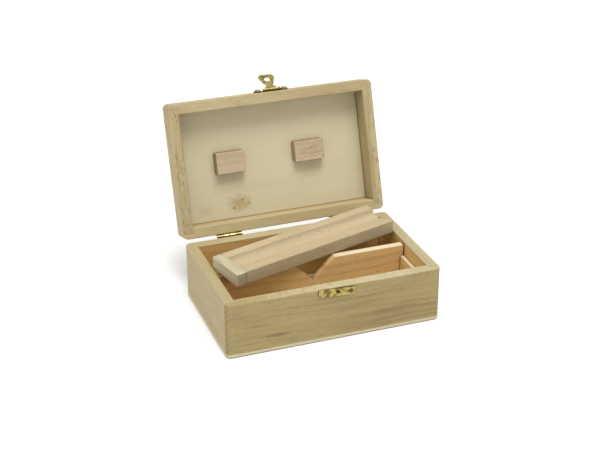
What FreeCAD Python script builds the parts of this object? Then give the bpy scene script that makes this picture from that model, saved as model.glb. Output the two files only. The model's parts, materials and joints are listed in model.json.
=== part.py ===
import FreeCAD, Part
import math
import os

# Small hinged wooden box for art supplies, shown open, with a loose scoop tray lying askew in it.
# Frame: X to the right along the front, Y to the back, Z up, origin at the centre of the base.
# Everything is in millimetres. Lid pieces are drawn shut and then turned open about the hinges.

V = FreeCAD.Vector

# ---- box ----
WIDTH = 160.0           # outside, left to right
DEPTH = 100.0           # outside, front to back
WALL = 8.0              # thickness of the side boards
TONGUE = 4.0            # what each rabbet leaves of the front and back boards
CORNER_R = 3.7          # upright outer corners
ARRIS_R = 0.7           # sanded edges at the rims
FOOT_R = 1.1            # sanded edge under the bottom panel
BOTTOM_T = 3.0          # bottom panel
RIM_Z = 41.7            # top of the side boards

# ---- lid ----
RIM_GAP = 0.3           # between the two rims when shut
LID_FRAME_H = 15.0
LID_PANEL_T = 3.0
LID_TOP_R = 1.4
LID_OPEN_DEG = 108.25   # where the stop hinges hold the lid

# ---- inside ----
PARTITION_FRONT_Y = -4.4
PARTITION_T = 5.2
PARTITION_TOP_Z = 40.0
PARTITION_LEFT_GAP = 0.4
PARTITION_RIGHT_GAP = 1.0
NOTCH_X = 0.5
NOTCH_BOTTOM_Z = 23.5   # the notch has 45 degree sides
LEDGE_T = 3.2
LEDGE_TOP_Z = 31.3

# ---- blocks glued inside the lid: centre x, centre y (shut), width, depth ----
BLOCK_H = 6.6
BLOCKS = {
    "lid_block_left": (-35.0, -1.0, 22.0, 15.8),
    "lid_block_right": (27.6, -2.0, 23.2, 14.9),
}
BLOCK_EDGE_R = 0.4

# ---- scoop tray ----
TRAY_L = 139.5
TRAY_W = 32.4
TRAY_H = 9.6
TRAY_CAP_T = 7.7
TRAY_CAP_PROUD = 0.4    # how far the body stands back from the cap at front and back
TRAY_RAIL_W = 6.8       # flat along the back
TRAY_LIP_W = 0.9        # flat along the front
COVE_DEPTH = 4.8
COVE_R = 7.5
TRAY_YAW_DEG = 15.9     # askew on top of the partition
TRAY_CORNER_X = -62.9   # its front left bottom corner
TRAY_CORNER_Y = -23.0
TRAY_CLEAR = 0.06       # above the two edges that carry it
TRAY_EDGE_R = 0.4
CAP_CORNER_R = 1.6
CAP_EDGE_R = 0.5

# ---- hinges ----
HINGE_XS = {"left": -45.1, "right": 45.1}
HINGE_L = 19.6
HINGE_KNUCKLES = 4
KNUCKLE_R = 1.4
KNUCKLE_GAP = 0.3
HINGE_OUT = 1.5         # axis behind the back face
LEAF_T = 0.7
LEAF_H = 9.5
LEAF_SCREW_X = 6.2
LEAF_SCREW_Z = 5.9
PIN_R = 0.6
PIN_PROUD = 0.2         # each end of a pin past its knuckles
PIN_EDGE_R = 0.2
LEAF_CORNER_R = 1.2
RUNNING = 0.07          # radial clearance on the pins
HINGE_SPINS = {-1: (-20, 35), 1: (20, 95)}   # how far each screw's slot is turned, per leaf

# ---- screws ----
HEAD_R = 1.75
HEAD_H = 0.95
SHANK_R = 0.7
SHANK_L = 5.0
SLOT_W = 0.4
SLOT_DEEP = 0.45
SCREW_TIP = 1.2
SCREW_CLEAR = 0.05      # around the shank in sheet metal

# ---- clasp: plate and swinging hasp on the lid, catch on the box ----
CLASP_X = 2.3           # sits a little right of the catch
CLASP_SCREW_X = 10.5
PLATE_T = 0.7
PLATE_EAR_R = 3.1
PLATE_EAR_RISE = 1.0    # each ear swells up to a seat for its screw
PLATE_EAR_SEAT_R = 2.1
PLATE_SCREW_Z = 8.8     # above the lid's rim
PLATE_BAND_UP = 2.2     # the band's edges above and below its screws
PLATE_BAND_DOWN = 1.47
PLATE_CREST_HALF = 7.5  # low peak above the band
PLATE_CREST_H = 4.6
PLATE_SPINS = (30, -40)
PIVOT_Z = 6.3           # above the lid's rim
PIVOT_OUT = 1.6         # in front of the front face
PIVOT_R = 0.5
BARREL_R = 1.1
LUG_IN = 5.0
LUG_OUT = 6.8
HASP_X = 2.1
HASP_SWING_DEG = 140.0  # from hanging over the hook to leaning back past straight out
HASP_T = 1.0
HASP_BARREL_HALF = 4.55
HASP_CHEEK = 1.6        # full width this far from the pivot
HASP_SHOULDER = 4.2     # from the pivot to the narrow neck
HASP_NECK_HALF = 2.5
HASP_EYE = 10.6         # from the pivot to the eye
HASP_EYE_W = 4.6
HASP_EYE_H = 4.2
HASP_LOBE_X = 3.1
HASP_LOBE_R = 3.25
HASP_LOBE_AT = 12.9
HASP_CHIN_X = 2.4
HASP_CHIN_R = 1.7
HASP_CHIN_AT = 7.3
HASP_SIDE_DEG = 23.0    # where the straight sides leave the lobes and the chin
HASP_EDGE_R = 0.3
HASP_SOFT_FROM = 5.0    # edges further than this from the pivot are rounded
CATCH_X = 0.1
CATCH_SCREW_X = 10.15
CATCH_W = 27.0
CATCH_H = 5.9
CATCH_Z = 37.9
CATCH_TILT_DEG = 3.5    # it was screwed on a little crooked
CATCH_CORNER_R = 1.2
HOOK_X = 1.3            # right of the catch's middle, in line with the eye
HOOK_HALF = 1.2
HOOK_T = 0.9
HOOK_OUT = 3.3
HOOK_LIP = 1.5
HOOK_LIP_T = 0.72
HOOK_EDGE_R = 0.3
CATCH_SPINS = (55, -20)

PAST = 1.0              # how far a cutting shape runs past the face it cuts
TINY = 0.01             # slack when picking edges

HALF_W = WIDTH / 2
HALF_D = DEPTH / 2
IN_X = HALF_W - WALL
IN_Y = HALF_D - WALL
LID_RIM_Z = RIM_Z + RIM_GAP
LID_PANEL_Z = LID_RIM_Z + LID_FRAME_H
AXIS_Y = HALF_D + HINGE_OUT
AXIS_Z = RIM_Z + RIM_GAP / 2

os.makedirs("parts", exist_ok=True)


def block(x0, x1, y0, y1, z0, z1):
    return Part.makeBox(x1 - x0, y1 - y0, z1 - z0, V(x0, y0, z0))


def rod(radius, start, direction, length):
    return Part.makeCylinder(radius, length, start, direction)


def fuse(shapes):
    return shapes[0].multiFuse(shapes[1:]).removeSplitter()


def edges_where(shape, test):
    """Edges whose bounding box passes the test."""
    return [edge for edge in shape.Edges if test(edge.BoundBox)]


def round_edges(shape, radius, test):
    return shape.makeFillet(radius, edges_where(shape, test))


def is_upright(box):
    return box.ZLength > TINY and box.XLength < TINY and box.YLength < TINY


def lies_at(z):
    return lambda box: box.ZLength < TINY and abs(box.ZMin - z) < TINY


def rounded_slab(z0, z1):
    """A board with the outline of the whole box."""
    return round_edges(block(-HALF_W, HALF_W, -HALF_D, HALF_D, z0, z1), CORNER_R, is_upright)


def open_lid(shape):
    """Turn a piece of the shut lid to where the stop hinges hold it."""
    turned = shape.copy()
    turned.rotate(V(0, AXIS_Y, AXIS_Z), V(1, 0, 0), -LID_OPEN_DEG)
    return turned


def write(name, shape):
    shape.exportStep("parts/" + name + ".step")


# ---------------------------------------------------------------- boards

def board_frame(z0, z1, rim_z):
    """Four boards glued in a ring, with the sanded edges of its rim."""
    ring = rounded_slab(z0, z1).cut(block(-IN_X, IN_X, -IN_Y, IN_Y, z0 - PAST, z1 + PAST))
    return round_edges(ring, ARRIS_R, lies_at(rim_z))


def split_boards(ring):
    """Front and back boards run the full width, and the end boards sit in their rabbets."""
    end_y = HALF_D - TONGUE
    box = ring.BoundBox
    right_zone = block(IN_X, WIDTH, -end_y, end_y, box.ZMin - PAST, box.ZMax + PAST)
    left_zone = block(-WIDTH, -IN_X, -end_y, end_y, box.ZMin - PAST, box.ZMax + PAST)
    long_boards = ring.cut(right_zone).cut(left_zone).Solids
    long_boards.sort(key=lambda solid: solid.CenterOfMass.y)
    return {
        "front": long_boards[0],
        "back": long_boards[1],
        "left": ring.common(left_zone),
        "right": ring.common(right_zone),
    }


def bottom_panel():
    return round_edges(rounded_slab(0, BOTTOM_T), FOOT_R, lies_at(0))


def lid_panel():
    top = LID_PANEL_Z + LID_PANEL_T
    return round_edges(rounded_slab(LID_PANEL_Z, top), LID_TOP_R, lies_at(top))


def lid_block(centre_x, centre_y, width, depth):
    body = block(centre_x - width / 2, centre_x + width / 2,
                 centre_y - depth / 2, centre_y + depth / 2,
                 LID_PANEL_Z - BLOCK_H, LID_PANEL_Z)
    return round_edges(body, BLOCK_EDGE_R, lies_at(LID_PANEL_Z - BLOCK_H))


# ---------------------------------------------------------------- inside the box

def partition():
    """Long board with a V notch in the middle of its top edge."""
    back_y = PARTITION_FRONT_Y + PARTITION_T
    board = block(-IN_X + PARTITION_LEFT_GAP, IN_X - PARTITION_RIGHT_GAP,
                  PARTITION_FRONT_Y, back_y, BOTTOM_T, PARTITION_TOP_Z)
    reach = PARTITION_TOP_Z - NOTCH_BOTTOM_Z + PAST
    start_y = PARTITION_FRONT_Y - PAST
    corners = [
        V(NOTCH_X, start_y, NOTCH_BOTTOM_Z),
        V(NOTCH_X + reach, start_y, NOTCH_BOTTOM_Z + reach),
        V(NOTCH_X - reach, start_y, NOTCH_BOTTOM_Z + reach),
    ]
    face = Part.Face(Part.makePolygon(corners + corners[:1]))
    notched = board.cut(face.extrude(V(0, PARTITION_T + 2 * PAST, 0)))
    return round_edges(notched, ARRIS_R, lies_at(PARTITION_TOP_Z))


def ledge(side):
    """Thin board on edge against an end wall; the tray's end stands on it."""
    inner = side * (IN_X - LEDGE_T)
    outer = side * IN_X
    return block(min(inner, outer), max(inner, outer),
                 -IN_Y, PARTITION_FRONT_Y, BOTTOM_T, LEDGE_TOP_Z)


# ---------------------------------------------------------------- tray

def cove_profile():
    """Hollow across the tray: gentle floor from the front lip, then a steep round back."""
    front = V(0, TRAY_LIP_W, TRAY_H)
    back_y = TRAY_W - TRAY_CAP_PROUD - TRAY_RAIL_W
    floor_z = TRAY_H - COVE_DEPTH
    low = V(0, back_y - COVE_R, floor_z)
    above_z = TRAY_H + PAST
    steep = math.acos(1 - COVE_DEPTH / COVE_R)
    middle = V(0, low.y + COVE_R * math.sin(steep / 2),
               floor_z + COVE_R * (1 - math.cos(steep / 2)))
    top = V(0, low.y + COVE_R * math.sin(steep), TRAY_H)
    return [
        Part.LineSegment(front, low).toShape(),
        Part.Arc(low, middle, top).toShape(),
        Part.LineSegment(top, V(0, top.y, above_z)).toShape(),
        Part.LineSegment(V(0, top.y, above_z), V(0, front.y, above_z)).toShape(),
        Part.LineSegment(V(0, front.y, above_z), front).toShape(),
    ]


def tray_body():
    """Scoop, drawn level with the cap's front left bottom corner at the origin."""
    solid = block(TRAY_CAP_T, TRAY_L, TRAY_CAP_PROUD, TRAY_W - TRAY_CAP_PROUD, 0, TRAY_H)
    hollow = Part.Face(Part.Wire(cove_profile())).extrude(V(TRAY_L, 0, 0))
    hollow.translate(V(TRAY_CAP_T, 0, 0))
    scoop = solid.cut(hollow)
    return round_edges(scoop, TRAY_EDGE_R,
                       lambda box: box.XLength > TRAY_L / 2 and box.ZMax < TINY)


def tray_end_cap():
    cap = block(0, TRAY_CAP_T, 0, TRAY_W, 0, TRAY_H)
    cap = round_edges(cap, CAP_CORNER_R, lambda box: is_upright(box) and box.XMax < TINY)
    return round_edges(cap, CAP_EDGE_R,
                       lambda box: box.ZLength < TINY and box.XMin < TRAY_CAP_T - TINY)


def tray_slope():
    """Tilt of the tray, from the partition's top edge up to the back wall's rim."""
    rise = RIM_Z - PARTITION_TOP_Z
    return math.atan2(rise, IN_Y - PARTITION_FRONT_Y)


def lay_tray(shape):
    """Put a tray piece where the tray lies, on the partition and the back rim."""
    slope = tray_slope()
    run = TRAY_CORNER_Y - PARTITION_FRONT_Y
    corner_z = PARTITION_TOP_Z + TRAY_CLEAR + run * math.tan(slope)
    laid = shape.copy()
    laid.rotate(V(0, 0, 0), V(0, 0, 1), TRAY_YAW_DEG)
    laid.rotate(V(0, 0, 0), V(1, 0, 0), math.degrees(slope))
    laid.translate(V(TRAY_CORNER_X, TRAY_CORNER_Y, corner_z))
    return laid


# ---------------------------------------------------------------- screws

def screw(spin_deg):
    """Round-head wood screw along Z: the head's seat is at z = 0 and the shank goes down."""
    sphere_r = (HEAD_R ** 2 + HEAD_H ** 2) / (2 * HEAD_H)
    dome = Part.makeSphere(sphere_r, V(0, 0, HEAD_H - sphere_r))
    head = dome.common(rod(HEAD_R + PAST, V(0, 0, 0), V(0, 0, 1), HEAD_H + PAST))
    slot = block(-HEAD_R - PAST, HEAD_R + PAST, -SLOT_W / 2, SLOT_W / 2,
                 HEAD_H - SLOT_DEEP, HEAD_H + PAST)
    tip = Part.makeCone(0, SHANK_R, SCREW_TIP, V(0, 0, -SHANK_L), V(0, 0, 1))
    shank = rod(SHANK_R, V(0, 0, SCREW_TIP - SHANK_L), V(0, 0, 1), SHANK_L - SCREW_TIP)
    piece = fuse([head, shank, tip]).cut(slot)
    piece.rotate(V(0, 0, 0), V(0, 0, 1), spin_deg)
    return piece


def screw_from_front(x, y, z, spin_deg):
    piece = screw(spin_deg)
    piece.rotate(V(0, 0, 0), V(1, 0, 0), 90)
    piece.translate(V(x, y, z))
    return piece


def screw_from_back(x, y, z, spin_deg):
    piece = screw(spin_deg)
    piece.rotate(V(0, 0, 0), V(1, 0, 0), -90)
    piece.translate(V(x, y, z))
    return piece


def clearance_hole(x, y, z):
    """Hole through sheet metal for a screw along Y."""
    return rod(SHANK_R + SCREW_CLEAR, V(x, y - PLATE_T - PAST, z), V(0, 1, 0), 2 * (PLATE_T + PAST))


# ---------------------------------------------------------------- hinges

def hinge_leaf(centre_x, side):
    """Leaf with its knuckles; side -1 is the box's leaf below the axis, +1 the lid's above it."""
    pitch = HINGE_L / HINGE_KNUCKLES
    start_x = centre_x - HINGE_L / 2
    far_z = AXIS_Z + side * LEAF_H
    near_z = AXIS_Z + side * (KNUCKLE_R + KNUCKLE_GAP)
    plate = block(start_x, start_x + HINGE_L, HALF_D, HALF_D + LEAF_T,
                  min(near_z, far_z), max(near_z, far_z))
    plate = round_edges(plate, LEAF_CORNER_R, lambda box: box.YLength > LEAF_T / 2
                        and box.XLength < TINY and abs(box.ZMin - far_z) < TINY)
    pieces = [plate]
    first = 0 if side < 0 else 1
    for knuckle in range(first, HINGE_KNUCKLES, 2):
        x0 = start_x + knuckle * pitch + KNUCKLE_GAP / 2
        x1 = x0 + pitch - KNUCKLE_GAP
        pieces.append(block(x0, x1, HALF_D, HALF_D + LEAF_T,
                            min(AXIS_Z, far_z), max(AXIS_Z, far_z)))
        pieces.append(rod(KNUCKLE_R, V(x0, AXIS_Y, AXIS_Z), V(1, 0, 0), x1 - x0))
    leaf = fuse(pieces)
    bore = PIN_R if side < 0 else PIN_R + RUNNING
    leaf = leaf.cut(rod(bore, V(start_x - PAST, AXIS_Y, AXIS_Z), V(1, 0, 0), HINGE_L + 2 * PAST))
    for x in (centre_x - LEAF_SCREW_X, centre_x + LEAF_SCREW_X):
        leaf = leaf.cut(clearance_hole(x, HALF_D, AXIS_Z + side * LEAF_SCREW_Z))
    return leaf


def hinge_pin(centre_x):
    length = HINGE_L - KNUCKLE_GAP + 2 * PIN_PROUD
    pin = rod(PIN_R, V(centre_x - length / 2, AXIS_Y, AXIS_Z), V(1, 0, 0), length)
    return round_edges(pin, PIN_EDGE_R, lambda box: box.XLength < TINY)


def hinge_screws(centre_x, side):
    z = AXIS_Z + side * LEAF_SCREW_Z
    y = HALF_D + LEAF_T
    spins = HINGE_SPINS[side]
    return [screw_from_back(centre_x - LEAF_SCREW_X, y, z, spins[0]),
            screw_from_back(centre_x + LEAF_SCREW_X, y, z, spins[1])]


# ---------------------------------------------------------------- clasp

def hasp_plate():
    """Plate on the lid's front: two round ears, a band between them and two lugs for the pin."""
    screw_z = LID_RIM_Z + PLATE_SCREW_Z
    pivot_z = LID_RIM_Z + PIVOT_Z
    front_y = -HALF_D - PLATE_T
    pivot_y = -HALF_D - PIVOT_OUT
    pieces = []
    for side in (-1, 1):
        ear_x = CLASP_X + side * CLASP_SCREW_X
        pieces.append(rod(PLATE_EAR_R, V(ear_x, front_y, screw_z), V(0, 1, 0), PLATE_T))
        pieces.append(Part.makeCone(PLATE_EAR_R, PLATE_EAR_SEAT_R, PLATE_EAR_RISE,
                                    V(ear_x, front_y, screw_z), V(0, -1, 0)))
        lug_x = CLASP_X + side * (LUG_IN + LUG_OUT) / 2
        half = (LUG_OUT - LUG_IN) / 2
        pieces.append(block(lug_x - half, lug_x + half, front_y, -HALF_D, pivot_z, screw_z))
        pieces.append(rod(BARREL_R, V(lug_x - half, pivot_y, pivot_z), V(1, 0, 0), 2 * half))
    pieces.append(block(CLASP_X - CLASP_SCREW_X, CLASP_X + CLASP_SCREW_X, front_y, -HALF_D,
                        screw_z - PLATE_BAND_DOWN, screw_z + PLATE_BAND_UP))
    crest = [
        V(CLASP_X - PLATE_CREST_HALF, front_y, screw_z + PLATE_BAND_UP),
        V(CLASP_X, front_y, screw_z + PLATE_CREST_H),
        V(CLASP_X + PLATE_CREST_HALF, front_y, screw_z + PLATE_BAND_UP),
        V(CLASP_X, front_y, screw_z),
    ]
    pieces.append(Part.Face(Part.makePolygon(crest + crest[:1])).extrude(V(0, PLATE_T, 0)))
    plate = fuse(pieces)
    bore_start = V(CLASP_X - LUG_OUT - PAST, pivot_y, pivot_z)
    plate = plate.cut(rod(PIVOT_R, bore_start, V(1, 0, 0), 2 * (LUG_OUT + PAST)))
    for side in (-1, 1):
        plate = plate.cut(clearance_hole(CLASP_X + side * CLASP_SCREW_X, front_y, screw_z))
    return plate


def hasp_screws():
    z = LID_RIM_Z + PLATE_SCREW_Z
    y = -HALF_D - PLATE_T - PLATE_EAR_RISE
    return [screw_from_front(CLASP_X - CLASP_SCREW_X, y, z, PLATE_SPINS[0]),
            screw_from_front(CLASP_X + CLASP_SCREW_X, y, z, PLATE_SPINS[1])]


def hasp_pin():
    length = 2 * (LUG_OUT + PIN_PROUD)
    start = V(CLASP_X - length / 2, -HALF_D - PIVOT_OUT, LID_RIM_Z + PIVOT_Z)
    pin = rod(PIVOT_R, start, V(1, 0, 0), length)
    return round_edges(pin, PIN_EDGE_R, lambda box: box.XLength < TINY)


def disc(x, along, radius, thickness):
    return rod(radius, V(x, -thickness / 2, -along), V(0, 1, 0), thickness)


def hasp():
    """Swinging hasp: barrel, tapering shoulder, neck and a rounded eye plate.

    Drawn hanging from the origin along -Z, then swung up past straight out.
    """
    half_t = HASP_T / 2
    shoulder = [
        V(-HASP_BARREL_HALF, -half_t, 0),
        V(HASP_BARREL_HALF, -half_t, 0),
        V(HASP_BARREL_HALF, -half_t, -HASP_CHEEK),
        V(HASP_NECK_HALF, -half_t, -HASP_SHOULDER),
        V(-HASP_NECK_HALF, -half_t, -HASP_SHOULDER),
        V(-HASP_BARREL_HALF, -half_t, -HASP_CHEEK),
    ]
    lobes = [disc(-HASP_LOBE_X, HASP_LOBE_AT, HASP_LOBE_R, HASP_T),
             disc(HASP_LOBE_X, HASP_LOBE_AT, HASP_LOBE_R, HASP_T),
             disc(-HASP_CHIN_X, HASP_CHIN_AT, HASP_CHIN_R, HASP_T),
             disc(HASP_CHIN_X, HASP_CHIN_AT, HASP_CHIN_R, HASP_T)]
    across = math.cos(math.radians(HASP_SIDE_DEG))
    inward = math.sin(math.radians(HASP_SIDE_DEG))
    web = [
        V(-HASP_LOBE_X, -half_t, -HASP_LOBE_AT - HASP_LOBE_R),
        V(HASP_LOBE_X, -half_t, -HASP_LOBE_AT - HASP_LOBE_R),
        V(HASP_LOBE_X + HASP_LOBE_R * across, -half_t, -HASP_LOBE_AT + HASP_LOBE_R * inward),
        V(HASP_CHIN_X + HASP_CHIN_R * across, -half_t, -HASP_CHIN_AT + HASP_CHIN_R * inward),
        V(-HASP_CHIN_X - HASP_CHIN_R * across, -half_t, -HASP_CHIN_AT + HASP_CHIN_R * inward),
        V(-HASP_LOBE_X - HASP_LOBE_R * across, -half_t, -HASP_LOBE_AT + HASP_LOBE_R * inward),
    ]
    neck = block(-HASP_NECK_HALF, HASP_NECK_HALF, -half_t, half_t,
                 -HASP_CHIN_AT, -HASP_SHOULDER + PAST)
    flat = [Part.Face(Part.makePolygon(points + points[:1])).extrude(V(0, HASP_T, 0))
            for points in (shoulder, web)]
    plate = fuse(flat + lobes + [neck])
    eye_end = (HASP_EYE_W - HASP_EYE_H) / 2
    deep = HASP_T + 2 * PAST
    eye = fuse([disc(-eye_end, HASP_EYE, HASP_EYE_H / 2, deep),
                disc(eye_end, HASP_EYE, HASP_EYE_H / 2, deep),
                block(-eye_end, eye_end, -deep / 2, deep / 2,
                      -HASP_EYE - HASP_EYE_H / 2, -HASP_EYE + HASP_EYE_H / 2)])
    plate = plate.cut(eye)
    barrel = rod(BARREL_R, V(-HASP_BARREL_HALF, 0, 0), V(1, 0, 0), 2 * HASP_BARREL_HALF)
    bore_half = HASP_BARREL_HALF + PAST
    bore = rod(PIVOT_R + RUNNING, V(-bore_half, 0, 0), V(1, 0, 0), 2 * bore_half)
    piece = fuse([plate, barrel]).cut(bore)
    piece = round_edges(piece, HASP_EDGE_R,
                        lambda box: box.ZMax < -HASP_SOFT_FROM and box.YLength < TINY)
    piece.rotate(V(0, 0, 0), V(1, 0, 0), -HASP_SWING_DEG)
    piece.translate(V(HASP_X, -HALF_D - PIVOT_OUT, LID_RIM_Z + PIVOT_Z))
    return piece


def tilt_catch(shape):
    shape.rotate(V(CATCH_X, 0, CATCH_Z), V(0, 1, 0), CATCH_TILT_DEG)
    return shape


def catch_plate():
    """Plate on the front wall with a small hook that passes through the hasp's eye."""
    front_y = -HALF_D - PLATE_T
    plate = block(CATCH_X - CATCH_W / 2, CATCH_X + CATCH_W / 2, front_y, -HALF_D,
                  CATCH_Z - CATCH_H / 2, CATCH_Z + CATCH_H / 2)
    plate = round_edges(plate, CATCH_CORNER_R, lambda box: box.YLength > PLATE_T / 2
                        and box.XLength < TINY and box.ZLength < TINY)
    hook_y = -HALF_D - HOOK_OUT
    shelf = block(HOOK_X - HOOK_HALF, HOOK_X + HOOK_HALF, hook_y, -HALF_D, CATCH_Z - HOOK_T, CATCH_Z)
    lip = block(HOOK_X - HOOK_HALF, HOOK_X + HOOK_HALF, hook_y, hook_y + HOOK_LIP_T,
                CATCH_Z - HOOK_T, CATCH_Z - HOOK_T + HOOK_LIP)
    hook = round_edges(fuse([shelf, lip]), HOOK_EDGE_R,
                       lambda box: box.XLength > HOOK_HALF and box.YMax < hook_y + TINY)
    plate = fuse([tilt_catch(plate), hook])
    for centre in catch_screw_centres():
        plate = plate.cut(clearance_hole(centre.x, front_y, centre.z))
    return plate


def catch_screw_centres():
    tilt = math.radians(CATCH_TILT_DEG)
    reach = CATCH_SCREW_X
    return [V(CATCH_X + side * reach * math.cos(tilt), 0, CATCH_Z - side * reach * math.sin(tilt))
            for side in (-1, 1)]


def catch_screws():
    y = -HALF_D - PLATE_T
    return [screw_from_front(centre.x, y, centre.z, spin)
            for centre, spin in zip(catch_screw_centres(), CATCH_SPINS)]


# ---------------------------------------------------------------- assembly

def bore_for(board, screws):
    """A board with the hole that each screw has cut for itself."""
    for piece in screws:
        board = board.cut(piece)
    return board


def main():
    box_screws = {}
    lid_screws = {"hasp_screws": hasp_screws()}
    for name, x in HINGE_XS.items():
        box_screws[name + "_hinge_box_screws"] = hinge_screws(x, -1)
        lid_screws[name + "_hinge_lid_screws"] = hinge_screws(x, 1)
        write(name + "_hinge_box_leaf", hinge_leaf(x, -1))
        write(name + "_hinge_lid_leaf", open_lid(hinge_leaf(x, 1)))
        write(name + "_hinge_pin", hinge_pin(x))
    box_screws["catch_screws"] = catch_screws()

    boards = split_boards(board_frame(BOTTOM_T, RIM_Z, RIM_Z))
    for name, board in boards.items():
        for screws in box_screws.values():
            board = bore_for(board, screws)
        write(name + "_wall", board)
    rails = split_boards(board_frame(LID_RIM_Z, LID_PANEL_Z, LID_RIM_Z))
    for name, rail in rails.items():
        for screws in lid_screws.values():
            rail = bore_for(rail, screws)
        write("lid_" + name + "_rail", open_lid(rail))
    for name, screws in box_screws.items():
        write(name, Part.makeCompound(screws))
    for name, screws in lid_screws.items():
        write(name, open_lid(Part.makeCompound(screws)))

    write("bottom_panel", bottom_panel())
    write("partition", partition())
    write("left_ledge", ledge(-1))
    write("right_ledge", ledge(1))
    write("lid_panel", open_lid(lid_panel()))
    for name, placing in BLOCKS.items():
        write(name, open_lid(lid_block(*placing)))
    write("tray_body", lay_tray(tray_body()))
    write("tray_end_cap", lay_tray(tray_end_cap()))
    write("catch_plate", catch_plate())
    write("hasp_plate", open_lid(hasp_plate()))
    write("hasp_pin", open_lid(hasp_pin()))
    write("hasp", open_lid(hasp()))


main()
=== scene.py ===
import json
import math
from collections import namedtuple

import bmesh
import bpy
from mathutils import Euler, Matrix, Vector, noise


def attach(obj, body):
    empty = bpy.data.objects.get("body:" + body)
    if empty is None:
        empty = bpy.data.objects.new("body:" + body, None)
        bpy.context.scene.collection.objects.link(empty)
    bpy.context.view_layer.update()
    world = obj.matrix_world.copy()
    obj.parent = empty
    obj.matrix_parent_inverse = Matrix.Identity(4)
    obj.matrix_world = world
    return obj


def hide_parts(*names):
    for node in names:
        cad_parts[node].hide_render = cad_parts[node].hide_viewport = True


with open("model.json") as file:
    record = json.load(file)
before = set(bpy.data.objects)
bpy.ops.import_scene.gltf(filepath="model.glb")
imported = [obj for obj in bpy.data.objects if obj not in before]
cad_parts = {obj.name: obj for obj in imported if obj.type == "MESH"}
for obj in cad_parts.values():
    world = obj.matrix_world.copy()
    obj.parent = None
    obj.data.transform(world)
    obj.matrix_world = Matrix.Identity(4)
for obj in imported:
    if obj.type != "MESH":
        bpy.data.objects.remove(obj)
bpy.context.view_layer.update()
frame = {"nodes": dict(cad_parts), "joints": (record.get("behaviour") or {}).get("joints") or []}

# Looks of a small bare-wood box with a loose scoop tray and brass fittings, standing open.
# X runs to the right along the front, Y to the back and Z up, from the centre of the base.
# Blender lengths are in metres. Inside the materials, positions are in millimetres.

MM = 0.001
PER_MM = (1 / MM, 1 / MM, 1 / MM)
NODES = frame["nodes"]
LID_JOINT = next(joint for joint in frame["joints"] if joint["name"] == "lid_hinge")
LID_OPEN = math.radians(LID_JOINT["range_deg"][1])
HINGE_AXIS = Vector(LID_JOINT["pos_m"]) / MM

# ---- sizes on the shut box, in mm ----
FRONT_Y = -50.0
RIM_Z = 41.7
INSIDE_X = 72.0
INSIDE_Y = 42.0
TONGUE_Y = 46.0         # the long boards' tongues reach over the end boards from here out
LID_PANEL_Z = 57.0      # the panel's inside face
TRAY_YAW = math.radians(15.9)
TRAY_SLOPE = math.radians(2.098)

# ---- camera, in metres ----
CAMERA_AT = (-0.302276, -0.794947, 0.483855)
CAMERA_RIGHT = (0.93780525, -0.34716065, -0.0008925)
CAMERA_UP = (0.153763, 0.41306128, 0.89762872)
CAMERA_BACK = (-0.31125271, -0.84193816, 0.4407515)
LENS_MM = 79.7124
SENSOR_MM = 36.0
CLIP_START = 0.01

# ---- floor and light, in metres and watts ----
FLOOR_HALF = 3.0
FLOOR_WHITE = (0.93, 0.93, 0.93, 1)
FLOOR_ROUGH = 0.9
FLOOR_SPECULAR = 0.1
SKY_HEIGHTS = (-0.1, 0.8)
SKY_STRENGTHS = (0.55, 0.95)
AIM = (0, 0, 0.06)
LAMPS = {               # place, size, watts
    "key": ((0.1, -0.8, 3.4), 1.9, 95),
    "fill": ((-3.3, 0.1, 1.9), 2.4, 30),
}

# ---- wood grain: a cell is its length along the fibres and its width across them, in mm ----
WAVE_CELL = (95, 26)
PATCH_CELL = (60, 9)
FIBRE_CELL = (14, 0.42)
FINE_CELL = (3.2, 0.16)
FLECK_CELL = (3.4, 0.55)
FLECK_PATCH_CELL = (22, 6)
BROAD_CELL = (70, 17)
GLOSS_CELL = (20, 2)

# ---- wood grain: ramps, from low and high to 0 and 1 unless two more values are given ----
LATE_RISE = (0.35, 0.86)        # late wood darkens slowly through the year
LATE_DROP = (1.0, 0.9)          # and ends sharply
PATCH_RAMP = (0.32, 0.68, 0.25, 1.0)
FLECK_RAMP = (0.55, 0.66)
FLECK_PATCH_RAMP = (0.40, 0.56)
END_RAMP = (0.35, 0.95)         # how squarely a face cuts the fibres
GLOSS_RAMP = (0.3, 0.7, 0.56, 0.72)

# ---- wood grain: amounts ----
WAVE_MM = 9.0           # how far slow waves bend the rings
YEAR_SCALE = 0.9
YEAR_SWING = 1.3        # how uneven the years are, in rings
FIBRE_TONE = 1.1
CLOUD_TONE = 1.6
FINE_TONE = 0.45
BASE_TONE = 0.14
FLECK_TINT = (0.62, 0.5, 0.4)
END_LATE = 0.5
END_EARLY = 0.3
END_STRENGTH = 0.75
END_TINT = 0.6
FIBRE_RELIEF = 0.6
LATE_RELIEF = 0.35
FINE_RELIEF = 0.25
RELIEF_STRENGTH = 0.35
RELIEF_MM = 0.12
WOOD_SPECULAR = 0.3

# ---- marks on the wood, with painted light and painted shade ----
STAIN_AND_LIGHT_NOISE = 0.28
STAIN_AND_LIGHT_WOBBLE = 0.9
STAIN_AND_LIGHT_RAMP = (1.0, 0.15)
THROUGH = 30.0          # a mark's radius across the face it shows on
# painted light: the walls' inside faces are painted brighter and more orange, standing in for
# light bouncing inside the box
INSIDE_HALVES = ((0, 72.2), (1, 42.2))
INSIDE_TOP = 1.0        # the painted inside light starts this far under the rim
INSIDE_LIGHT_RAMP = (-0.05, 0.25)
INSIDE_LIGHT_TINT = (1.68, 1.28, 0.80)
CORNER_RAMP = (0.45, 0.1)
CORNER_STRENGTH = 0.55
CORNER_TINT = (0.30, 0.19, 0.08)
# dark joint lines and painted shade: the colour is darkened wherever another face lies close, in
# the glue joints and in every inside corner and crease
SEAM_AND_SHADE_REACH = 1.6
SEAM_AND_SHADE_RAMP = (0.90, 0.6)
SEAM_AND_SHADE_STRENGTH = 0.85
SEAM_AND_SHADE_TINT = (0.40, 0.26, 0.13)

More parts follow.
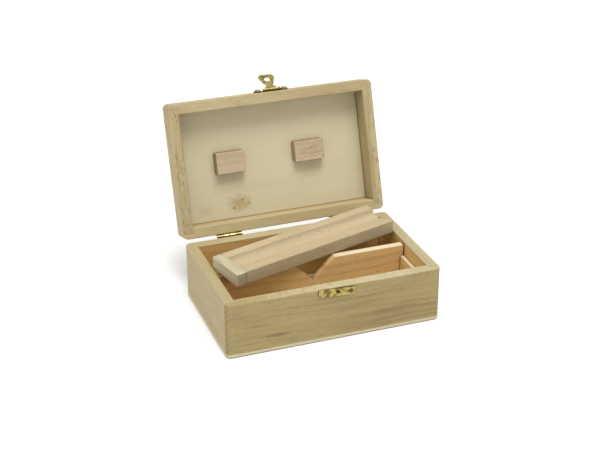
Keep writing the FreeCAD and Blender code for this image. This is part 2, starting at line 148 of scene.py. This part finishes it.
# ---- woods: (light, dark) ----
PINE_DARK = (0.31, 0.230, 0.10)
PINE = ((0.45, 0.375, 0.212), PINE_DARK)
LEFT = ((0.385, 0.32, 0.178), PINE_DARK)
RIGHT = ((0.41, 0.352, 0.198), PINE_DARK)
RAIL_LEFT = ((0.41, 0.335, 0.18), PINE_DARK)
RAIL_BACK = ((0.49, 0.40, 0.212), PINE_DARK)
FRONT = ((0.355, 0.283, 0.122), (0.225, 0.163, 0.062))
PLY_DARK = (0.48, 0.40, 0.23)
PLY = ((0.56, 0.50, 0.335), PLY_DARK)
# painted light: the partition and ledges get a brighter, more orange wood colour, standing in
# for light bouncing inside the box
INNER_LIT = ((0.74, 0.50, 0.215), (0.52, 0.31, 0.12))
TRAY = ((0.47, 0.375, 0.232), (0.34, 0.26, 0.145))
CAP = ((0.475, 0.425, 0.285), (0.34, 0.29, 0.165))
BLOCK = ((0.48, 0.385, 0.25), (0.34, 0.25, 0.15))
KNOT = (0.40, 0.31, 0.14)
KNOT_EYE = (0.20, 0.12, 0.05)

# ---- marks on the wood (real stain, painted light, painted shade): centre, radii, colour, strength ----
PANEL_STAINS = (
    ((-30.0, 31.0, LID_PANEL_Z), (12.5, 9.0, THROUGH), KNOT, 0.85),
    ((-34.5, 34.0, LID_PANEL_Z), (1.9, 1.4, THROUGH), KNOT_EYE, 0.8),
    ((-27.5, 28.5, LID_PANEL_Z), (2.6, 1.3, THROUGH), KNOT_EYE, 0.55),
    ((-23.5, 31.5, LID_PANEL_Z), (1.8, 1.0, THROUGH), KNOT_EYE, 0.45),
    ((-57.0, 33.0, LID_PANEL_Z), (9.0, 5.0, THROUGH), KNOT, 0.28),
    ((28.0, 14.0, LID_PANEL_Z), (12.0, 7.0, THROUGH), KNOT, 0.25),
    ((-48.0, 8.0, LID_PANEL_Z), (3.0, 24.0, THROUGH), PLY_DARK, 0.35),
    ((-8.0, 20.0, LID_PANEL_Z), (36.0, 5.0, THROUGH), PLY_DARK, 0.35),
)
FRONT_STAINS_AND_LIGHT = (
    ((-44.0, FRONT_Y, 12.5), (14.0, THROUGH, 1.6), (0.17, 0.12, 0.06), 0.75),
    ((-58.0, FRONT_Y, 22.0), (13.0, THROUGH, 1.5), (0.19, 0.14, 0.07), 0.45),
    ((12.0, FRONT_Y, 24.0), (26.0, THROUGH, 1.6), (0.21, 0.15, 0.06), 0.5),
    ((48.0, FRONT_Y, 17.0), (22.0, THROUGH, 1.5), (0.21, 0.15, 0.06), 0.45),
    ((30.0, FRONT_Y, 6.0), (34.0, THROUGH, 1.6), (0.22, 0.16, 0.07), 0.45),
    # painted light: the rim is painted paler than the face, as if lit from above
    ((30.0, -TONGUE_Y, 42.4), (120.0, THROUGH, 2.0), (0.53, 0.46, 0.30), 0.75),
)
PARTITION_LIGHT_AND_SHADE = (
    # painted light and shade: the top edge is painted pale as if lit from above, and the left
    # end is painted dark as the tray's shadow on it
    ((20.0, -2.0, 40.2), (140.0, THROUGH, 1.6), (0.66, 0.56, 0.38), 0.95),
    ((-71.0, -2.0, 40.0), (11.0, 12.0, 16.0), (0.22, 0.11, 0.03), 0.95),
)
# painted light: the ledge's top is painted pale, as if lit from above
LEDGE_TOP_LIGHT = (
    ((70.0, -22.0, 31.6), (40.0, 80.0, 1.5), (0.60, 0.50, 0.33), 0.9),
)
# in the tray's own frame: painted shadow in the gap where the cap's glue joint gapes at the
# front and at the back edge
TRAY_GAP_SHADE = (
    ((-59.1, -4.9, 42.0), (0.75, 3.0, 40.0), (0.10, 0.05, 0.015), 0.9),
    ((-59.1, 27.5, 44.0), (0.7, 2.0, 40.0), (0.14, 0.08, 0.03), 0.7),
)
# the cap takes the same painted gap shadow, and one faint dark mark of its own
CAP_STAINS_AND_GAP_SHADE = TRAY_GAP_SHADE + (
    ((-67.0, 12.0, 47.6), (4.0, THROUGH, 0.7), (0.20, 0.14, 0.06), 0.35),
)

# ---- boards, each cut from its own place in a trunk ----
# body is whose frame the board is drawn in, and grain the axis its fibres follow. pith is where
# the trunk's middle runs in the two other axes, and ring the width of a year, in mm. rings,
# flecks and cloud are strengths from 0 to 1. shift picks the board's own stretch of the trunk.
# The last field holds the board's real stain marks and its painted light and shade.
Board = namedtuple("Board", "body grain tones pith ring rings flecks cloud shift stains",
                   defaults=((),))
BOARDS = {
    "front_wall": Board("box", "X", FRONT, (-160, -60), 2.9, 0.5, 0.30, 0.8, 0.0, FRONT_STAINS_AND_LIGHT),
    "back_wall": Board("box", "X", PINE, (90, -120), 5.0, 0.45, 0.2, 0.3, 210.0),
    "left_wall": Board("box", "Y", LEFT, (-130, -60), 5.2, 0.4, 0.25, 0.35, 400.0),
    "right_wall": Board("box", "Y", RIGHT, (140, -70), 5.2, 0.45, 0.2, 0.3, 610.0),
    "bottom_panel": Board("box", "X", PLY, (10, -900), 8.0, 0.2, 0.1, 0.3, 50.0),
    "partition": Board("box", "X", INNER_LIT, (-40, -50), 7.0, 0.5, 0.35, 0.4, 770.0,
                       PARTITION_LIGHT_AND_SHADE),
    "left_ledge": Board("box", "Y", INNER_LIT, (-100, -60), 5.0, 0.4, 0.2, 0.3, 820.0),
    "right_ledge": Board("box", "Y", INNER_LIT, (100, -60), 5.0, 0.4, 0.2, 0.3, 910.0,
                         LEDGE_TOP_LIGHT),
    "lid_front_rail": Board("lid", "X", PINE, (-50, 110), 3.6, 0.7, 0.45, 0.5, 130.0),
    "lid_back_rail": Board("lid", "X", RAIL_BACK, (60, 150), 6.5, 0.25, 0.1, 0.3, 340.0),
    "lid_left_rail": Board("lid", "Y", RAIL_LEFT, (-110, 90), 2.6, 0.75, 0.95, 0.5, 520.0),
    "lid_right_rail": Board("lid", "Y", PINE, (100, 110), 2.6, 0.75, 0.85, 0.5, 700.0),
    "lid_panel": Board("lid", "X", PLY, (0, 900), 9.0, 0.15, 0.05, 0.3, 95.0, PANEL_STAINS),
    "lid_block_left": Board("lid", "X", BLOCK, (20, 90), 4.0, 0.3, 0.25, 0.3, 1010.0),
    "lid_block_right": Board("lid", "X", BLOCK, (-30, 70), 3.2, 0.5, 0.55, 0.5, 1100.0),
    "tray_body": Board("tray", "X", TRAY, (30, -120), 4.2, 0.4, 0.3, 0.5, 1200.0, TRAY_GAP_SHADE),
    "tray_end_cap": Board("tray", "Y", CAP, (-60, -40), 2.4, 0.5, 0.2, 0.3, 1300.0, CAP_STAINS_AND_GAP_SHADE),
}
GRAIN_ORDER = {"X": (0, 1, 2), "Y": (1, 0, 2)}

# ---- brass: (bright, worn) ----
BRASS_WORDS = ("hinge", "hasp", "catch")
BRASS_PLATED = ((0.42, 0.35, 0.11), (0.17, 0.13, 0.035))
BRASS_SCREWS = ((0.50, 0.42, 0.16), (0.17, 0.125, 0.035))
# painted light: the hinges get a brighter copy of the brass, standing in for light on their
# shaded knuckles
BRASS_HINGES_LIT = ((0.78, 0.64, 0.25), (0.36, 0.28, 0.10))
TARNISH_SCALE = 0.22
TARNISH_RAMP = (0.45, 0.62)
# painted shade: the brass is darkened towards black in its hollows and where parts meet,
# standing in for shade and dark reflections
RECESS_SHADE_REACH = 1.4
RECESS_SHADE_RAMP = (0.93, 0.62)
RECESS_SHADE_STRENGTH = 0.9
RECESS_SHADE_TINT = (0.07, 0.05, 0.012)
SMEAR_SCALE = 0.5
SMEAR_RAMP = (0.3, 0.7, 0.24, 0.40)
RIPPLE_SCALE = 0.35
RIPPLE_STRENGTH = 0.5
RIPPLE_MM = 0.35

# ---- worn edges ----
WOOD_EDGE_MM = 0.3
BRASS_EDGE_MM = 0.08
EDGE_ANGLE = math.radians(50)
EDGE_SEGMENTS = 2

# ---- the sawn block, in mm ----
BLOCK_CENTRE = (27.6, -2.0)
BLOCK_SIZE = (23.2, 14.9, 6.6)
GRID = 0.55
TORN_REACH = 4.5        # how far in from its right end the block is torn
CHIP_DEPTH = 1.1        # how far the torn end and its edges are eaten back
CHIP_CELLS = (0.35, 0.9, 1.4)
CHIP_FINE = 1.9
CHIP_FINE_SHARE = 0.5
CHIP_BIAS = 0.15
TOP_SHARE = 0.35        # of the end's chips, along X on the other faces
SIDE_SHARE = 0.5
FREE_SHARE = 0.55
FUZZ_DEPTH = 0.07
FUZZ_CELLS = (0.6, 2.2, 2.2)
FUZZ_SHIFT = Vector((9, 4, 2))
SKIN = 0.01             # vertices this close to a face belong to it
GLUED_FROM = 0.98       # share of the height where the glued face starts
FREE_BELOW = 0.02       # and where the free face ends


def lid_point(x, y, z):
    """Millimetres on the shut lid to the row frame at rest, in metres."""
    turned = Matrix.Rotation(-LID_OPEN, 3, "X") @ (Vector((x, y, z)) - HINGE_AXIS)
    return (turned + HINGE_AXIS) * MM


def link(item):
    bpy.context.scene.collection.objects.link(item)


# ---------------------------------------------------------------- node helper

class Graph:
    """Adds nodes to one material, and links or sets their inputs."""

    def __init__(self, name):
        self.material = bpy.data.materials.new(name)
        self.material.use_nodes = True
        self.tree = self.material.node_tree
        self.tree.nodes.clear()

    def feed(self, socket, value):
        if isinstance(value, bpy.types.NodeSocket):
            self.tree.links.new(value, socket)
        else:
            socket.default_value = value

    def add(self, kind, inputs=None, **settings):
        node = self.tree.nodes.new(kind)
        for key, value in settings.items():
            setattr(node, key, value)
        for key, value in (inputs or {}).items():
            self.feed(node.inputs[key], value)
        return node

    def math(self, operation, first, second=0.0):
        return self.add("ShaderNodeMath", {0: first, 1: second}, operation=operation).outputs[0]

    def vector(self, operation, first, second=(0, 0, 0)):
        node = self.add("ShaderNodeVectorMath", {0: first, 1: second}, operation=operation)
        return node.outputs["Value" if operation == "LENGTH" else "Vector"]

    def split(self, vector):
        return self.add("ShaderNodeSeparateXYZ", {0: vector}).outputs

    def noise(self, at, scale=1.0, detail=2.0, roughness=0.5):
        inputs = {"Vector": at, "Scale": scale, "Detail": detail, "Roughness": roughness}
        return self.add("ShaderNodeTexNoise", inputs).outputs["Fac"]

    def swing(self, value, amount):
        """A value between 0 and 1, turned into a swing about zero."""
        return self.math("MULTIPLY", self.math("SUBTRACT", value, 0.5), amount)

    def remap(self, value, low, high, to_low=0.0, to_high=1.0):
        inputs = {"Value": value, "From Min": low, "From Max": high,
                  "To Min": to_low, "To Max": to_high}
        return self.add("ShaderNodeMapRange", inputs, interpolation_type="SMOOTHSTEP").outputs[0]

    def mix(self, amount, first, second, blend="MIX"):
        """Mix two colours. The node's sockets 6 and 7 are its colours A and B."""
        node = self.add("ShaderNodeMix", {0: amount}, data_type="RGBA", blend_type=blend)
        for key, value in ((6, first), (7, second)):
            is_socket = isinstance(value, bpy.types.NodeSocket)
            self.feed(node.inputs[key], value if is_socket else (*value, 1.0))
        return node.outputs[2]

    def nook(self, reach_mm):
        """How enclosed a spot is: 0 in a tight corner or joint, 1 in the open."""
        inputs = {"Distance": reach_mm * MM}
        return self.add("ShaderNodeAmbientOcclusion", inputs, samples=8).outputs["AO"]

    def finish(self, shader):
        self.add("ShaderNodeOutputMaterial", {"Surface": shader.outputs[0]})
        return self.material


# ---------------------------------------------------------------- wood

def body_frame(body):
    """(rotation, offset in mm) that brings a point at rest into its body's own upright frame."""
    if body == "lid":
        turn = Matrix.Rotation(LID_OPEN, 3, "X")
        return turn.to_euler(), HINGE_AXIS - turn @ HINGE_AXIS
    if body == "tray":
        return Euler((-TRAY_SLOPE, 0, -TRAY_YAW)), Vector((0, 0, 0))
    return Euler((0, 0, 0)), Vector((0, 0, 0))


class Timber:
    """Where a point lies in its board: along the fibres, to the side and up across them."""

    def __init__(self, g, board):
        self.g = g
        order = GRAIN_ORDER[board.grain]
        rotation, offset = body_frame(board.body)
        source = g.add("ShaderNodeTexCoord")
        self.place = g.add("ShaderNodeMapping", {
            "Vector": source.outputs["Object"], "Location": offset, "Rotation": rotation,
            "Scale": PER_MM}).outputs[0]
        facing = g.add("ShaderNodeMapping", {
            "Vector": source.outputs["Normal"], "Rotation": rotation},
            vector_type="VECTOR").outputs[0]
        self.split = g.split(self.place)
        along, self.side, self.up = (self.split[axis] for axis in order)
        self.along = g.math("ADD", along, board.shift)
        self.end_face = g.math("ABSOLUTE", g.split(facing)[order[0]])

    def noise(self, cell, detail=2.0, roughness=0.5):
        """Noise in cells that are long along the fibres and narrow across them."""
        length, width = cell
        inputs = {0: self.g.math("DIVIDE", self.along, length),
                  1: self.g.math("DIVIDE", self.side, width),
                  2: self.g.math("DIVIDE", self.up, width)}
        at = self.g.add("ShaderNodeCombineXYZ", inputs).outputs[0]
        return self.g.noise(at, detail=detail, roughness=roughness)


def late_wood(g, timber, board):
    """Dark part of each growth ring, by distance from the pith, bent by slow waves."""
    wave = g.swing(timber.noise(WAVE_CELL, detail=3), WAVE_MM)
    across = g.math("SUBTRACT", timber.side, board.pith[0])
    rise = g.math("SUBTRACT", timber.up, board.pith[1])
    squares = g.math("ADD", g.math("MULTIPLY", across, across), g.math("MULTIPLY", rise, rise))
    radius = g.math("SQRT", squares)
    year = g.math("DIVIDE", g.math("ADD", radius, wave), board.ring)
    uneven = g.add("ShaderNodeCombineXYZ", {0: year, 1: board.shift}).outputs[0]
    swing = g.math("MULTIPLY", g.noise(uneven, YEAR_SCALE, 1), YEAR_SWING)
    phase = g.math("FRACT", g.math("ADD", year, swing))
    late = g.math("MULTIPLY", g.remap(phase, *LATE_RISE), g.remap(phase, *LATE_DROP))
    return g.math("MULTIPLY", late, g.remap(timber.noise(PATCH_CELL), *PATCH_RAMP))


# Mixes in every listed mark: real stain marks, painted light and painted shade alike.
def stained_and_lit(g, place, colour, stains):
    for centre, radii, tint, strength in stains:
        reach = g.vector("DIVIDE", g.vector("SUBTRACT", place, centre), radii)
        wobble = g.swing(g.noise(place, STAIN_AND_LIGHT_NOISE, 3), STAIN_AND_LIGHT_WOBBLE)
        near = g.remap(g.math("ADD", g.vector("LENGTH", reach), wobble), *STAIN_AND_LIGHT_RAMP)
        colour = g.mix(g.math("MULTIPLY", near, strength), colour, tint)
    return colour


def paint_inside_light(g, split, colour):
    """Painted light: the walls' inside faces are painted brighter and more orange than the rest
    of the box, standing in for light bouncing inside it.
    """
    depth = [g.math("SUBTRACT", half, g.math("ABSOLUTE", split[axis]))
             for axis, half in INSIDE_HALVES]
    under_rim = g.math("SUBTRACT", RIM_Z - INSIDE_TOP, split[2])
    nearest = g.math("MINIMUM", g.math("MINIMUM", depth[0], depth[1]), under_rim)
    return g.mix(g.remap(nearest, *INSIDE_LIGHT_RAMP), colour, INSIDE_LIGHT_TINT, "MULTIPLY")


def corner_lines(g, split, colour):
    """Thin dark lines where an end board sits in the rabbets of the long boards."""
    reach_x = g.math("ABSOLUTE", split[0])
    reach_y = g.math("ABSOLUTE", split[1])
    from_tongue = g.math("ABSOLUTE", g.math("SUBTRACT", reach_y, TONGUE_Y))
    from_end = g.math("ABSOLUTE", g.math("SUBTRACT", reach_x, INSIDE_X))
    in_end = g.math("GREATER_THAN", reach_x, INSIDE_X)
    in_tongue = g.math("MULTIPLY", g.math("GREATER_THAN", reach_y, INSIDE_Y),
                       g.math("LESS_THAN", reach_y, TONGUE_Y))
    long_line = g.math("MULTIPLY", g.remap(from_tongue, *CORNER_RAMP), in_end)
    short_line = g.math("MULTIPLY", g.remap(from_end, *CORNER_RAMP), in_tongue)
    line = g.math("MULTIPLY", g.math("MAXIMUM", long_line, short_line), CORNER_STRENGTH)
    return g.mix(line, colour, CORNER_TINT)


def wood(name, board):
    """Bare wood cut from a solid trunk: rings about a pith, fibres, flecks, darker end grain."""
    g = Graph(name + "_wood")
    timber = Timber(g, board)
    light, dark = board.tones

    late = late_wood(g, timber, board)
    fibre = timber.noise(FIBRE_CELL, detail=4, roughness=0.65)
    fine = timber.noise(FINE_CELL)
    fleck = g.remap(timber.noise(FLECK_CELL, detail=1), *FLECK_RAMP)
    fleck = g.math("MULTIPLY", fleck,
                   g.remap(timber.noise(FLECK_PATCH_CELL), *FLECK_PATCH_RAMP))
    broad = timber.noise(BROAD_CELL)

    tone = g.math("MULTIPLY", late, board.rings)
    for value, strength in ((fibre, FIBRE_TONE), (broad, board.cloud * CLOUD_TONE),
                            (fine, FINE_TONE)):
        tone = g.math("ADD", tone, g.swing(value, strength))
    tone = g.add("ShaderNodeClamp", {0: g.math("ADD", tone, BASE_TONE)}).outputs[0]
    colour = g.mix(tone, light, dark)
    brown = [channel * factor for channel, factor in zip(dark, FLECK_TINT)]
    colour = g.mix(g.math("MULTIPLY", fleck, board.flecks), colour, brown)

    # end grain soaks up light, most of all in the late wood
    soaked = g.math("MULTIPLY", g.remap(timber.end_face, *END_RAMP),
                    g.math("ADD", g.math("MULTIPLY", late, END_LATE), END_EARLY))
    colour = g.mix(g.math("MULTIPLY", soaked, END_STRENGTH), colour,
                   [channel * END_TINT for channel in dark])

    colour = stained_and_lit(g, timber.place, colour, board.stains)
    # painted light on the walls' inside faces
    if name.endswith("_wall"):
        colour = paint_inside_light(g, timber.split, colour)
    if name.endswith(("_wall", "_rail")):
        colour = corner_lines(g, timber.split, colour)
    # dark joint lines and painted shade in corners and creases
    seam_and_shade = g.remap(g.nook(SEAM_AND_SHADE_REACH), *SEAM_AND_SHADE_RAMP)
    colour = g.mix(g.math("MULTIPLY", seam_and_shade, SEAM_AND_SHADE_STRENGTH), colour, SEAM_AND_SHADE_TINT, "MULTIPLY")

    height = g.math("ADD", g.math("MULTIPLY", fibre, FIBRE_RELIEF),
                    g.math("MULTIPLY", late, LATE_RELIEF))
    height = g.math("ADD", height, g.math("MULTIPLY", fine, FINE_RELIEF))
    bump = g.add("ShaderNodeBump", {"Strength": RELIEF_STRENGTH, "Distance": RELIEF_MM * MM,
                                    "Height": height})
    return g.finish(g.add("ShaderNodeBsdfPrincipled", {
        "Base Color": colour, "Roughness": g.remap(timber.noise(GLOSS_CELL), *GLOSS_RAMP),
        "Specular IOR Level": WOOD_SPECULAR, "Normal": bump.outputs[0]}))


# ---------------------------------------------------------------- brass

def brass(name, tones):
    """Thin bright plating with smeared polish, tarnish, painted shade in its hollows and a faint
    stamped unevenness.
    """
    g = Graph(name)
    place = g.add("ShaderNodeMapping", {
        "Vector": g.add("ShaderNodeTexCoord").outputs["Object"], "Scale": PER_MM}).outputs[0]
    tarnish = g.remap(g.noise(place, TARNISH_SCALE), *TARNISH_RAMP)
    colour = g.mix(tarnish, *tones)
    # painted shade in the hollows
    recess_shade = g.remap(g.nook(RECESS_SHADE_REACH), *RECESS_SHADE_RAMP)
    colour = g.mix(g.math("MULTIPLY", recess_shade, RECESS_SHADE_STRENGTH), colour, RECESS_SHADE_TINT)
    smear = g.remap(g.noise(place, SMEAR_SCALE), *SMEAR_RAMP)
    ripple = g.noise(place, RIPPLE_SCALE, 1)
    bump = g.add("ShaderNodeBump", {"Strength": RIPPLE_STRENGTH, "Distance": RIPPLE_MM * MM,
                                    "Height": ripple})
    return g.finish(g.add("ShaderNodeBsdfPrincipled", {
        "Base Color": colour, "Metallic": 1.0, "Roughness": smear, "Normal": bump.outputs[0]}))


# ---------------------------------------------------------------- CAD nodes

def soften(piece, width_mm):
    """A fine worn edge. It only takes material away, so the piece keeps its CAD size."""
    bevel = piece.modifiers.new("worn_edge", "BEVEL")
    bevel.width = width_mm * MM
    bevel.segments = EDGE_SEGMENTS
    bevel.limit_method = "ANGLE"
    bevel.angle_limit = EDGE_ANGLE


def dress_frame():
    """Give every carried-over CAD node its material and a softened edge."""
    woods = {name: wood(name, board) for name, board in BOARDS.items()}
    plated = brass("brass_plated", BRASS_PLATED)
    screws = brass("brass_screws", BRASS_SCREWS)
    # the hinges' copy of the brass is painted brighter, as painted light
    lit_hinges = brass("brass_hinges_lit", BRASS_HINGES_LIT)
    for name, piece in NODES.items():
        if not any(word in name for word in BRASS_WORDS):
            material, edge_mm = woods[name], WOOD_EDGE_MM
        elif name.endswith("_screws"):
            material, edge_mm = screws, BRASS_EDGE_MM
        else:
            material, edge_mm = (lit_hinges if "hinge" in name else plated), BRASS_EDGE_MM
        piece.data.materials.clear()
        piece.data.materials.append(material)
        soften(piece, edge_mm)
    return woods


# ---------------------------------------------------------------- sawn block

def noise_at(point, cells):
    """Noise at a point, in cells whose size differs along the three axes."""
    return Vector([value * cell for value, cell in zip(point, cells)])


def wear(point, half_x, half_y, height):
    """Move one point of the clean block to where the saw and the sandpaper left it."""
    x, y, z = point
    torn = max(0.0, (x - half_x + TORN_REACH) / TORN_REACH)
    ragged = noise.noise(noise_at(point, CHIP_CELLS))
    ragged = ragged + CHIP_FINE_SHARE * noise.noise(point * CHIP_FINE)
    eaten = CHIP_DEPTH * torn * max(0.0, ragged + CHIP_BIAS)
    fuzz = max(0.0, FUZZ_DEPTH * noise.noise(noise_at(point, FUZZ_CELLS) + FUZZ_SHIFT))
    level = (z + height / 2) / height
    worn = point.copy()
    worn.x = min(half_x, x - eaten * (1.0 if x > half_x - SKIN else TOP_SHARE))
    if level < GLUED_FROM and abs(y) > half_y - SKIN:
        worn.y = y - math.copysign(min(abs(y), SIDE_SHARE * eaten + fuzz), y)
    if level < FREE_BELOW:
        worn.z = z + FREE_SHARE * eaten + fuzz
    return worn


def sawn_block(material):
    """The block glued on the right: its right end is torn by the saw, its left end is clean."""
    half_x, half_y = BLOCK_SIZE[0] / 2, BLOCK_SIZE[1] / 2
    height = BLOCK_SIZE[2]
    mesh = bpy.data.meshes.new("lid_block_right_sawn")
    grid = bmesh.new()
    bmesh.ops.create_cube(grid, size=1.0)
    for vert in grid.verts:
        vert.co = Vector([share * size for share, size in zip(vert.co, BLOCK_SIZE)])
    cuts = round(max(BLOCK_SIZE) / GRID)
    bmesh.ops.subdivide_edges(grid, edges=grid.edges[:], cuts=cuts, use_grid_fill=True)
    for vert in grid.verts:
        x, y, z = wear(vert.co, half_x, half_y, height)
        vert.co = lid_point(x + BLOCK_CENTRE[0], y + BLOCK_CENTRE[1],
                            LID_PANEL_Z - height / 2 + z)
    bmesh.ops.recalc_face_normals(grid, faces=grid.faces[:])
    grid.to_mesh(mesh)
    grid.free()
    piece = bpy.data.objects.new("lid_block_right_sawn", mesh)
    link(piece)
    mesh.materials.append(material)
    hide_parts("lid_block_right")
    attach(piece, "lid")


# ---------------------------------------------------------------- floor, light, camera

def plain_floor():
    mesh = bpy.data.meshes.new("floor")
    corners = [(-FLOOR_HALF, -FLOOR_HALF, 0), (FLOOR_HALF, -FLOOR_HALF, 0),
               (FLOOR_HALF, FLOOR_HALF, 0), (-FLOOR_HALF, FLOOR_HALF, 0)]
    mesh.from_pydata(corners, [], [(0, 1, 2, 3)])
    floor = bpy.data.objects.new("floor", mesh)
    link(floor)
    g = Graph("floor_paper")
    mesh.materials.append(g.finish(g.add("ShaderNodeBsdfPrincipled", {
        "Base Color": FLOOR_WHITE, "Roughness": FLOOR_ROUGH,
        "Specular IOR Level": FLOOR_SPECULAR})))


def soft_box(name, place, size, watts):
    light = bpy.data.lights.new(name, "AREA")
    light.shape = "DISK"
    light.size = size
    light.energy = watts
    lamp = bpy.data.objects.new(name, light)
    lamp.location = place
    lamp.rotation_euler = (Vector(AIM) - Vector(place)).to_track_quat("-Z", "Y").to_euler()
    link(lamp)


def studio():
    """Pale surroundings, brighter overhead, and two large soft lights."""
    world = bpy.data.worlds.new("studio")
    bpy.context.scene.world = world
    world.use_nodes = True
    tree = world.node_tree
    tree.nodes.clear()
    place = tree.nodes.new("ShaderNodeTexCoord")
    split = tree.nodes.new("ShaderNodeSeparateXYZ")
    lift = tree.nodes.new("ShaderNodeMapRange")
    lift.inputs["From Min"].default_value, lift.inputs["From Max"].default_value = SKY_HEIGHTS
    lift.inputs["To Min"].default_value, lift.inputs["To Max"].default_value = SKY_STRENGTHS
    shine = tree.nodes.new("ShaderNodeBackground")
    output = tree.nodes.new("ShaderNodeOutputWorld")
    tree.links.new(place.outputs["Generated"], split.inputs[0])
    tree.links.new(split.outputs["Z"], lift.inputs["Value"])
    tree.links.new(lift.outputs[0], shine.inputs["Strength"])
    tree.links.new(shine.outputs[0], output.inputs[0])
    for name, (lamp_at, size, watts) in LAMPS.items():
        soft_box(name, lamp_at, size, watts)
    bpy.context.scene.view_settings.view_transform = "Standard"


def camera():
    lens = bpy.data.cameras.new("camera")
    lens.lens = LENS_MM
    lens.sensor_width = SENSOR_MM
    lens.clip_start = CLIP_START
    lens.dof.use_dof = False
    eye = bpy.data.objects.new("camera", lens)
    turn = Matrix((CAMERA_RIGHT, CAMERA_UP, CAMERA_BACK)).transposed()
    eye.matrix_world = Matrix.Translation(CAMERA_AT) @ turn.to_4x4()
    link(eye)
    bpy.context.scene.camera = eye


woods = dress_frame()
sawn_block(woods["lid_block_right"])
plain_floor()
studio()
camera()
